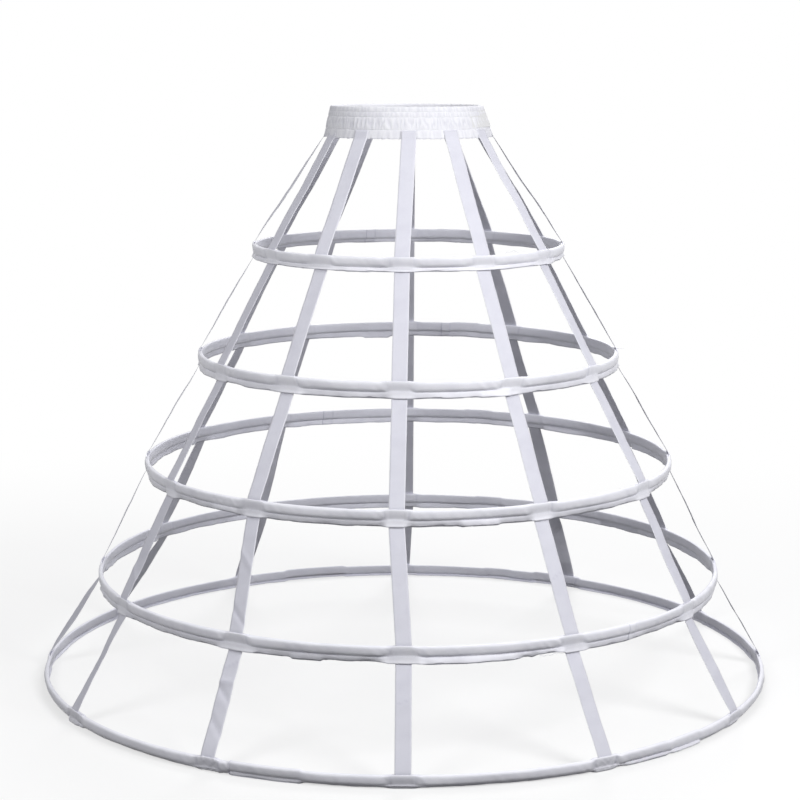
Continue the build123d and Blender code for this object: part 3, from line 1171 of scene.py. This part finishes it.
@dataclass
class ThreadEnds:
    """Threads that have come loose from the casings.

    Args:
        stitch: Short lengths that overlap into one thread.
        steps: Points along each thread.
        wavy_start: Angle at which the wavy end along the first hoop starts, in degrees.
        wavy_run: How far round it runs, in degrees.
        frays: Threads along torn edges.
    """

    stitch: Stitch = Stitch(1.4 * MM, -0.3 * MM, 0.28 * MM)
    steps: int = 25
    wavy_start: float = 36.0
    wavy_run: float = 6.5
    frays: tuple[Fray, ...] = (
        Fray(4, 16.2, 26 * MM, 1.4),
        Fray(4, 17.4, 18 * MM, 0.2),
        Fray(4, 23.0, 24 * MM, 0.9),
        Fray(4, 25.2, 20 * MM, 0.1),
    )

    def __post_init__(self) -> None:
        self.share = np.linspace(0, 1, self.steps)

    def humps(self, count: int) -> np.ndarray:
        """Wave with a number of humps along a thread, from end to end."""
        return np.sin(count * np.pi * self.share)

    def wavy_end(self) -> np.ndarray:
        """Lay the wavy end along the first hoop's top.

        Returns:
            Points along it.
        """
        turn = np.radians(self.wavy_start + self.wavy_run * self.share)
        rise = HOOPS[0].top + (1.0 + 2.6 * self.humps(1) + 0.9 * self.humps(4)) * MM
        return HOOPS[0].around(turn, -2.5 * MM, rise)

    def straight_end(self) -> np.ndarray:
        """Let an end stick out at the second hoop's right.

        Returns:
            Points along it.
        """
        hoop, share = HOOPS[1], self.share
        start = np.array([hoop.centre.x + hoop.radius - 2 * MM, hoop.centre.y - 4 * MM, hoop.top - 0.5 * MM])
        return start + np.stack([10 * share, -1.5 * share, 1.2 * share - 1.4 * share**2], axis=1) * MM

    def fray_line(self, fray: Fray) -> np.ndarray:
        """Hang a thread along a torn edge.

        Args:
            fray: The thread.
        Returns:
            Points along it.
        """
        hoop = HOOPS[fray.hoop - 1]
        turn = math.radians(fray.degrees) + (self.share - 0.5) * fray.length / hoop.radius
        height = hoop.bottom + (1.2 - fray.drop * self.humps(1) + 0.5 * self.humps(5)) * MM
        return hoop.around(turn, (0.4 * self.humps(3) - 0.6) * MM, height)

    def build(self, material: bpy.types.Material) -> bpy.types.Object:
        """Lay the loose threads as one piece.

        Args:
            material: The thread's material.
        Returns:
            The finished piece.
        """
        lines = [self.wavy_end(), self.straight_end()] + [self.fray_line(fray) for fray in self.frays]
        piece = sew_seams("thread_ends", lines, self.stitch, material, closed=False)
        return piece


# Tapes


@dataclass(frozen=True)
class Crease:
    """Sharp fold line across a tape.

    Args:
        height: Where it crosses the tape's middle line, in metres above the floor.
        slant: Rise for each metre across.
        depth: How far it stands out, in metres, or in where negative.
        reach: How far the tape takes to lie flat again, in metres.
    """

    height: float
    slant: float
    depth: float
    reach: float


@dataclass(frozen=True)
class Drape:
    """How one tape hangs between its hoops.

    Args:
        twists: Turn about its own length in the middle of each span from the top, in degrees.
        creases: Its fold lines.
    """

    twists: tuple[float, float, float, float, float] = (0.0, 0.0, 0.0, 0.0, 0.0)
    creases: tuple[Crease, ...] = ()


DRAPES = {
    "tape_front_left": Drape(
        (0.0, 1.5, -2.0, 3.0, -4.0),
        (
            Crease(0.256, -0.9, 1.0 * MM, 9 * MM),
            Crease(0.187, -0.85, -1.3 * MM, 8 * MM),
            Crease(0.126, 0.5, 0.9 * MM, 7 * MM),
            Crease(0.106, 0.1, 1.5 * MM, 6 * MM),
            Crease(0.092, -0.75, -1.4 * MM, 8 * MM),
            Crease(0.055, -0.8, -1.2 * MM, 9 * MM),
        ),
    ),
    "tape_left": Drape((-8.0, -5.0, -4.0, -5.0, -20.0)),
    "tape_right": Drape((-4.0, -3.0, -3.0, -2.0, -3.0)),
    "tape_left_front": Drape((0.0, 2.0, 4.0, -5.0, 12.0), (Crease(0.20, -0.7, 1.0 * MM, 10 * MM),)),
    "tape_left_back": Drape((2.0, -4.0, 6.0, 12.0, 10.0)),
    "tape_back_left": Drape((3.0, 4.0, -5.0, 8.0, 32.0), (Crease(0.10, 0.9, 1.0 * MM, 12 * MM),)),
    "tape_back_right": Drape((-3.0, -4.0, 5.0, -8.0, -32.0), (Crease(0.11, -0.9, 1.0 * MM, 12 * MM),)),
    "tape_right_back": Drape((-2.0, 3.0, -6.0, -10.0, -12.0)),
    "tape_right_front": Drape((0.0, -2.0, 3.0, 4.0, 10.0)),
    "tape_front_right": Drape((0.0, 1.0, -1.5, 2.0, -2.0), (Crease(0.24, 0.5, 0.5 * MM, 12 * MM),)),
    "tape_front": Drape((0.0, -1.0, 1.0, -1.5, 2.5), (Crease(0.10, 0.3, 0.5 * MM, 14 * MM),)),
}

# A tape bows out of its line, ripples, and cups a little across its width
BOW = Wrinkle(1.0, 0.17, 2.7)
RIPPLE = Wrinkle(0.22, 0.03, 3.9)
CUP = Wrinkle(0.3, 0.11, 1.3)


@dataclass
class Tape:
    """Ribbon that hangs from the waistband and runs through every casing.

    Args:
        name: Name of its node in the frame.
        number: Gives it its own wrinkles.
        ribbon: Thickness of the ribbon, in metres.
        width: Of the ribbon, in metres.
        step: Length of a face along it, in metres.
        across_steps: Faces across it.
        crease_line: How far the painted shade of a fold line reaches, in metres.
    """

    name: str
    number: int
    ribbon: float = 0.5 * MM
    width: float = TAPE_WIDTH
    step: float = 3.2 * MM
    across_steps: int = 10
    crease_line: float = 0.8 * MM

    def __post_init__(self) -> None:
        self.route = TapeRoute(self.name)
        self.drape = DRAPES.get(self.name, Drape())

    def span_share(self, height: np.ndarray) -> tuple[np.ndarray, np.ndarray]:
        """Find the free span, between two hoops, that each height is in.

        Args:
            height: Above the floor, in metres.
        Returns:
            The span's number, from 0 at the top, and the share of the way down it.
        """
        tops = [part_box("waistband")[0].z] + [hoop.bottom for hoop in HOOPS[:-1]]
        span, share = np.zeros(len(height), int), np.zeros(len(height))
        for index, (top, hoop) in enumerate(zip(tops, HOOPS)):
            inside = (height < top) & (height > hoop.top)
            span[inside] = index
            share[inside] = (top - height[inside]) / (top - hoop.top)
        return span, share

    def shape(self, along: np.ndarray, across: np.ndarray) -> tuple[np.ndarray, np.ndarray]:
        """Lay the ribbon along its route, twisted and creased in its free spans.

        Args:
            along: Share of the way down the tape.
            across: Share of the way across it.
        Returns:
            The points, and how much painted shade each gets.
        """
        centre, side, normal = self.route.at(along * self.route.length)
        off = (across - 0.5) * self.width
        height = centre[:, 2]
        span, share = self.span_share(height)
        free = np.sin(np.pi * share) ** 0.6
        twist = np.radians(np.array(self.drape.twists)[span]) * np.sin(np.pi * share) ** 0.8
        cos, sin = np.cos(twist)[:, None], np.sin(twist)[:, None]

        turn, length = along * FULL_TURN, self.route.length
        rise = BOW.along(turn, length, self.number) + RIPPLE.along(turn, length, self.number, skew=60 * off)
        rise = (rise + CUP.along(turn, length, self.number) * (2 * off / self.width) ** 2) * free * MM
        depth = np.zeros_like(off)
        for crease in self.drape.creases:
            gap = np.abs(height - crease.height - crease.slant * off)
            rise = rise + crease.depth * np.maximum(0.0, 1 - gap / crease.reach)
            # Painted shade greys the tape along each fold line
            depth = np.maximum(depth, 0.6 * np.exp(-gap / self.crease_line))
        points = centre + (side * cos + normal * sin) * off[:, None] + (normal * cos - side * sin) * rise[:, None]
        return points, depth

    def build(self, material: bpy.types.Material) -> bpy.types.Object:
        """Sew the tape, and hide the frame's own tape node.

        Args:
            material: The ribbon's material.
        Returns:
            The finished piece.
        """
        steps = (round(self.route.length / self.step), self.across_steps)
        cut = Cut(self.route.length, self.width, steps, self.ribbon)
        piece = sew(self.name.replace("tape", "ribbon"), cut, self.shape, material)
        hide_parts(self.name)
        return piece


@dataclass
class TapeTops:
    """Stitches that hold the tapes' tops on the waistband, in short rows across each.

    Args:
        tapes: The tapes.
        stitch: The rows' stitch.
        rows: How far below a tape's top each row lies, in metres.
        points: Points along each row.
    """

    tapes: list[Tape]
    stitch: Stitch = Stitch(2.0 * MM, 0.8 * MM, 0.2 * MM)
    rows: tuple[float, float] = (2.2 * MM, 9.5 * MM)
    points: int = 12

    def row(self, tape: Tape, down: float) -> np.ndarray:
        """Points along one row on a tape's face, which stops short of its edges."""
        line = tape.shape(np.full(self.points, down / tape.route.length), np.linspace(0.08, 0.92, self.points))[0]
        return line + tape.route.at(np.full(self.points, down))[2] * tape.ribbon / 2

    def build(self, material: bpy.types.Material) -> bpy.types.Object:
        """Sew the rows as one piece.

        Args:
            material: The thread's material.
        Returns:
            The finished piece.
        """
        lines = [self.row(tape, down) for tape in self.tapes for down in self.rows]
        piece = sew_seams("stitches_tape_tops", lines, self.stitch, material, closed=False)
        return piece


# Waistband


@dataclass(frozen=True)
class Gather:
    """How the cloth between two rows of the waistband is gathered.

    Args:
        rise: How far its crests stand out, in millimetres.
        count: Crests all round.
        lean: How much they slant one way and the other.
        shade: How much painted shade greys the valleys between them, from 0 to 1.
    """

    rise: float
    count: int
    lean: float
    shade: float


@dataclass
class Waistband:
    """Cotton band folded over an elastic, shirred in rows and gathered between them.

    Args:
        cloth: Thickness of the cloth, in metres.
        cut_length: Length of the flat strip before it is gathered, in metres.
        around_steps: Faces round it.
        corner_steps: Faces from one corner of the section to the next.
        rows: Height of the hem row and the shirring rows above the lower edge, in millimetres.
        levels: Heights of the section's corners above each row, in millimetres.
        gathers: How the cloth is gathered below each row and above the last.
        lean: How far the top leans to the left, in metres.
        top_ease: How much wider than the solid's the top is on each side, in metres.
        stitch: The rows' stitch.
        row_points: Points along each row.
    """

    cloth: float = 0.5 * MM
    cut_length: float = 0.92
    around_steps: int = 620
    corner_steps: int = 3
    rows: tuple[float, ...] = (12.5, 30.5, 38.0)
    levels: tuple[tuple[float, ...], ...] = ((16.5, 21.5, 26.5), (34.2,), (41.5,))
    gathers: tuple[Gather, ...] = (
        Gather(0.3, 62, 0.3, 0.5), Gather(1.4, 98, 3.2, 0.75), Gather(0.5, 118, 0.8, 0.6), Gather(0.35, 84, 0.5, 0.6)
    )
    lean: float = 2.5 * MM
    top_ease: float = 1.2 * MM
    stitch: Stitch = Stitch(2.2 * MM, 0.7 * MM, 0.2 * MM)
    row_points: int = 700

    def __post_init__(self) -> None:
        spots = node_points("waistband")
        low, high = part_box("waistband")
        self.base, self.height = low.z, (high.z - low.z) / MM
        self.centre = ((low.x + high.x) / 2, (low.y + high.y) / 2)
        top = spots[spots[:, 2] > high.z - 0.1 * MM]
        foot = spots[spots[:, 2] < low.z + 0.1 * MM]
        self.top_half = (top.max(axis=0) - top.min(axis=0))[:2] / 2 + 0.5 * MM
        self.foot_half = (foot.max(axis=0) - foot.min(axis=0))[:2] / 2 + 0.6 * MM
        self.curve = smooth_curve(self.section())

    def section(self) -> list[tuple[float, float]]:
        """Corners of the folded band, from its outer lower edge to its inner one.

        Returns:
            Millimetres in from the outside, and up from the lower edge.
        """
        outside = [(0.5, 0.0), (0.1, 1.4), (0.0, 4.0), (0.0, 8.0), (0.1, 11.0)]
        for row, levels in zip(self.rows, self.levels):
            outside += [(0.2, row - 0.9), (0.5, row), (0.2, row + 0.9)] + [(0.0, level) for level in levels]
        fold = [(0.25, 43.8), (1.1, 45.1), (2.4, 45.4), (3.6, 44.9), (4.3, 43.4)]
        inside = [(4.4, 38.0), (4.4, 30.5), (4.4, 21.0), (4.3, 12.5), (3.6, 10.5), (2.4, 6.0), (1.5, 1.5)]
        return outside + fold + inside

    def gather(self, turn: np.ndarray, up: np.ndarray) -> tuple[np.ndarray, np.ndarray]:
        """Gather the cloth between the rows into crests, and pucker it beside them.

        Args:
            turn: Angle round the oval, in radians.
            up: Height above the lower edge, in millimetres.
        Returns:
            How far the cloth stands out, in millimetres, and how much painted shade it gets in the valleys.
        """
        swell, depth = np.zeros_like(turn), np.zeros_like(turn)
        edges = (0.0, *self.rows, self.height)
        for zone, (low, high, look) in enumerate(zip(edges, edges[1:], self.gathers)):
            here = (up >= low) & (up < high)
            inside = np.clip((up - low) / (high - low), 0.0, 1.0)
            hump = np.sin(np.pi * inside) ** 0.6 * here
            wander = 1.5 * waves(turn, 26, 2.9 + zone) + look.lean * waves(turn, 29, 5.1 + zone) * (inside - 0.5)
            wander = wander + 0.35 * look.lean * waves(turn, 53, 3.7 + zone) * np.sin(2 * np.pi * inside)
            crest = (1 - np.abs(np.sin(look.count * turn / 2 + wander))) ** 1.1
            fine = 0.5 + 0.5 * waves(turn, look.count * 2.3, 7.7 + zone, look.lean * (inside - 0.5))
            uneven = 0.7 + 0.5 * waves(turn, 31, 8.3 + zone)
            swell += hump * look.rise * (uneven * (0.75 * crest + 0.3 * fine) - 0.15)
            # Painted shade greys the valleys between the crests
            depth += hump * look.shade * np.clip(0.75 - crest - 0.35 * fine, 0, 1)
            near = np.exp(-np.minimum(up - low, high - up) / 1.8) * here
            swell += 0.2 * near * waves(turn, 165, 3.3 + zone) * (zone > 0)
        return swell, depth

    def place(self, turn: np.ndarray, share: np.ndarray, lift: float = 0.0) -> tuple[np.ndarray, np.ndarray]:
        """Where points of the band lie once it is gathered.

        Args:
            turn: Angle round the oval, in radians from the front, positive to the right.
            share: From 0, at the outer lower edge, over the fold to 1, at the inner lower edge.
            lift: Distance outside the cloth, in metres.
        Returns:
            The points, and how much painted shade each gets.
        """
        inset, up = along_curve(self.curve, share).T
        outer = smooth_step((3.4 - inset) / 1.4)
        swell, depth = self.gather(turn, up)

        # The lower edge is ruffled, the rows lie in hollows, and the fold at the top rolls
        frill = waves(turn, 92, 9.1)
        ruffle = np.exp(-up / 2.8) * (up < 9)
        swell += ruffle * (0.75 * frill + 0.3)
        hollows = sum(bell(up, row, 1.0) for row in self.rows)
        # Painted shade greys the hollows at the rows and the ruffled lower edge
        depth += 0.3 * hollows * np.clip(waves(turn, 44, 1.1), 0, 1)
        depth = np.clip(depth + (up < 2.5) * np.exp(-up / 0.9) * (0.6 + 0.6 * frill), 0, 1)
        roll = 0.35 * bell(up, self.height, 1.8) * waves(turn, 70, 4.7)
        hem = 0.55 * ruffle * waves(turn, 66, 2.3)
        inset = inset - swell * outer + (1 - outer) * 0.3 * waves(turn, 48, 6.6)
        wobble = 0.5 * waves(turn, 37, 3.1) + 0.3 * waves(turn, 96, 6.4, 0.1 * up)
        share_up = up / self.height
        wobble = wobble * np.sin(np.pi * np.clip(share_up, 0, 1)) * outer

        foot = self.foot_half[0] - BAND_PULL
        half_x = foot + (self.top_half[0] + self.top_ease - foot) * share_up
        half_y = self.foot_half[1] + (self.top_half[1] - self.foot_half[1]) * share_up
        normal = np.stack([half_y * np.sin(turn), -half_x * np.cos(turn)], axis=1)
        normal /= np.linalg.norm(normal, axis=1)[:, None]
        x = self.centre[0] - self.lean * share_up + half_x * np.sin(turn) - normal[:, 0] * (inset * MM - lift)
        y = self.centre[1] - half_y * np.cos(turn) - normal[:, 1] * (inset * MM - lift)
        return np.stack([x, y, self.base + (up + roll + hem + wobble) * MM], axis=1), depth * outer

    def round_shape(self, along: np.ndarray, across: np.ndarray) -> tuple[np.ndarray, np.ndarray]:
        """Lay the whole band round the oval, from the front."""
        return self.place(along * FULL_TURN, across)

    def build(self, material: bpy.types.Material) -> bpy.types.Object:
        """Sew the band, and hide the frame's own waistband node.

        Args:
            material: The cloth's material.
        Returns:
            The finished piece.
        """
        width = float(np.linalg.norm(np.diff(self.curve, axis=0), axis=1).sum()) * MM
        steps = (self.around_steps, (len(self.section()) - 1) * self.corner_steps)
        piece = sew("waistband_cloth", Cut(self.cut_length, width, steps, self.cloth), self.round_shape, material)
        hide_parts("waistband")
        return piece

    def row_line(self, row: float) -> np.ndarray:
        """Lay a line round the band's outside.

        Args:
            row: Its height above the lower edge, in millimetres.
        Returns:
            The line's points, on the cloth's surface.
        """
        outer = self.curve[: len(self.curve) // 2]
        share = float(np.argmin(np.abs(outer[:, 1] - row)) / (len(self.curve) - 1))
        turn = np.linspace(0, FULL_TURN, self.row_points, endpoint=False)
        return self.place(turn, np.full(self.row_points, share), self.cloth / 2)[0]

    def build_stitches(self, material: bpy.types.Material) -> bpy.types.Object:
        """Sew the hem row and the shirring rows.

        Args:
            material: The thread's material.
        Returns:
            The finished piece.
        """
        piece = sew_seams("stitches_waistband", [self.row_line(row) for row in self.rows], self.stitch, material)
        return piece


# Studio


@dataclass(frozen=True)
class Lamp:
    """Round soft lamp that faces the cage.

    Args:
        name: Its name.
        power: In watts.
        place: Where it stands, in metres.
        size: Its diameter, in metres, which softens its shadows.
    """

    name: str
    power: float
    place: tuple[float, float, float]
    size: float


@dataclass
class Studio:
    """Pale floor, soft light and the camera.

    Args:
        lamps: The lamps.
        target: Where they point, in metres.
        sky: Strength of the light from all round.
        floor_reach: Radius of the flat floor, in metres.
        floor_bend: Radius of its curve up into the backdrop, in metres.
        bend_steps: Faces up the curve.
        round_steps: Faces round the floor.
        camera_place: Where the camera stands, in metres.
        camera_pitch: How far it looks down, in degrees.
        camera_roll: How far it is turned about its view, in degrees.
        lens: Its focal length, in millimetres.
        sensor: Width of its sensor, in millimetres.
    """

    lamps: tuple[Lamp, ...] = (
        Lamp("key_light", 40.0, (1.5, -1.4, 1.75), 1.1),
        Lamp("fill_light", 16.0, (-1.25, -1.45, 1.45), 0.9),
        Lamp("back_light", 52.0, (0.4, 2.3, 2.3), 1.6),
    )
    target: tuple[float, float, float] = (0.0, 0.0, 1.0)
    sky: float = 0.33
    floor_reach: float = 9.0
    floor_bend: float = 3.0
    bend_steps: int = 12
    round_steps: int = 96
    camera_place: tuple[float, float, float] = (-0.0071, -3.0622, 0.9381)
    camera_pitch: float = 9.699
    camera_roll: float = -0.03
    lens: float = 92.16
    sensor: float = 36.0

    def build_floor(self) -> None:
        """Round floor that curves up into a backdrop all round."""
        bm = bmesh.new()
        corners = [Vector((0, 0, 0)), Vector((self.floor_reach, 0, 0))]
        for step in range(1, self.bend_steps + 1):
            turn = math.pi / 2 * step / self.bend_steps
            rise = self.floor_bend * (1 - math.cos(turn))
            corners.append(Vector((self.floor_reach + self.floor_bend * math.sin(turn), 0, rise)))
        verts = [bm.verts.new(corner) for corner in corners]
        edges = [bm.edges.new(pair) for pair in zip(verts, verts[1:])]
        bmesh.ops.spin(
            bm, geom=verts + edges, axis=(0, 0, 1), cent=(0, 0, 0), angle=FULL_TURN, steps=self.round_steps,
            use_merge=True,
        )
        bmesh.ops.remove_doubles(bm, verts=bm.verts, dist=MM / 100)
        bmesh.ops.recalc_face_normals(bm, faces=bm.faces)
        floor = bpy.data.objects.new("floor", close_mesh("floor", bm, self.floor_material()))
        bpy.context.scene.collection.objects.link(floor)

    def floor_material(self) -> bpy.types.Material:
        """Pale matt floor that throws little light back up, as if it fell into shade beyond the view.

        Returns:
            The material.
        """
        material, tree, place = start_material("floor_paper")
        pale = add_node(tree, "ShaderNodeBsdfDiffuse", {"Color": linear("F2F2F2")})
        far = add_node(tree, "ShaderNodeEmission", {"Color": linear("FFFFFF"), "Strength": 1.0})
        away = add_node(tree, "ShaderNodeVectorMath", {"operation": "LENGTH"}, {0: place})
        fade = add_node(
            tree, "ShaderNodeMapRange",
            {"interpolation_type": "SMOOTHSTEP", "From Min": 0.5, "From Max": 1.9, "To Min": 0.6},
            {0: away.outputs["Value"]},
        )
        white = add_node(tree, "ShaderNodeMixShader", links={0: fade.outputs[0], 1: pale.outputs[0], 2: far.outputs[0]})
        dim = add_node(tree, "ShaderNodeBsdfDiffuse", {"Color": linear("5C5C5E")})
        path = add_node(tree, "ShaderNodeLightPath").outputs
        seen = path["Is Camera Ray"]
        for ray in ("Is Glossy Ray", "Is Transmission Ray"):
            seen = add_node(tree, "ShaderNodeMath", {"operation": "MAXIMUM"}, {0: seen, 1: path[ray]}).outputs[0]
        mix = add_node(tree, "ShaderNodeMixShader", links={0: seen, 1: dim.outputs[0], 2: white.outputs[0]})
        add_node(tree, "ShaderNodeOutputMaterial", links={0: mix.outputs[0]})
        return material

    def add_lamp(self, lamp: Lamp) -> None:
        """Add a lamp, which the camera doesn't see.

        Args:
            lamp: The lamp.
        """
        light = bpy.data.lights.new(lamp.name, "AREA")
        light.shape = "DISK"
        light.energy = lamp.power
        light.size = lamp.size
        stand = bpy.data.objects.new(lamp.name, light)
        stand.location = lamp.place
        stand.rotation_euler = (Vector(lamp.place) - Vector(self.target)).to_track_quat("Z", "Y").to_euler()
        stand.visible_camera = False
        bpy.context.scene.collection.objects.link(stand)

    def add_camera(self) -> None:
        """Stand the camera where the photograph was taken from."""
        camera = bpy.data.cameras.new("camera")
        camera.lens = self.lens
        camera.sensor_width = self.sensor
        view = bpy.data.objects.new("camera", camera)
        view.location = self.camera_place
        view.rotation_euler = (math.radians(90 - self.camera_pitch), math.radians(self.camera_roll), 0.0)
        bpy.context.scene.collection.objects.link(view)
        bpy.context.scene.camera = view

    def build(self) -> None:
        """Set the floor, the lights and the camera."""
        self.build_floor()
        for lamp in self.lamps:
            self.add_lamp(lamp)
        world = bpy.data.worlds.new("studio")
        bpy.context.scene.world = world
        world.use_nodes = True
        sky = world.node_tree.nodes["Background"].inputs
        sky[0].default_value, sky[1].default_value = linear("F2F3F6"), self.sky
        self.add_camera()
        bpy.context.scene.view_settings.view_transform = "Standard"


# The cage


def main() -> None:
    """Build every piece of the cage and the studio round it."""
    logging.basicConfig(level=logging.INFO, format="%(message)s")
    satin, grosgrain, cotton = make_cloth(SATIN), make_cloth(GROSGRAIN), make_cloth(COTTON)
    thread = make_thread()

    band = Waistband()
    pieces = [band.build(cotton), band.build_stitches(thread)]
    tapes = [Tape(name, number) for number, name in enumerate(TAPE_NAMES, 1)]
    pieces += [tape.build(grosgrain) for tape in tapes]
    pieces.append(TapeTops(tapes).build(thread))
    for hoop in HOOPS:
        casing = Casing(hoop, [tape.route.angle_at(hoop) for tape in tapes])
        pieces += [casing.build(satin), casing.build_stitches(thread)]
        pieces += [casing.build_lap(lap, satin) for lap in LAPS if lap.hoop == hoop.number]
    pieces.append(ThreadEnds().build(thread))
    for piece in pieces:
        log.info("%s: %d faces", piece.name, len(piece.data.polygons))
    for finish in HARD_FINISHES:
        dress_hidden_pieces(finish)
        log.info("%s: %s", finish.nodes, finish.name)
    Studio().build()


if __name__ == "__main__":
    main()
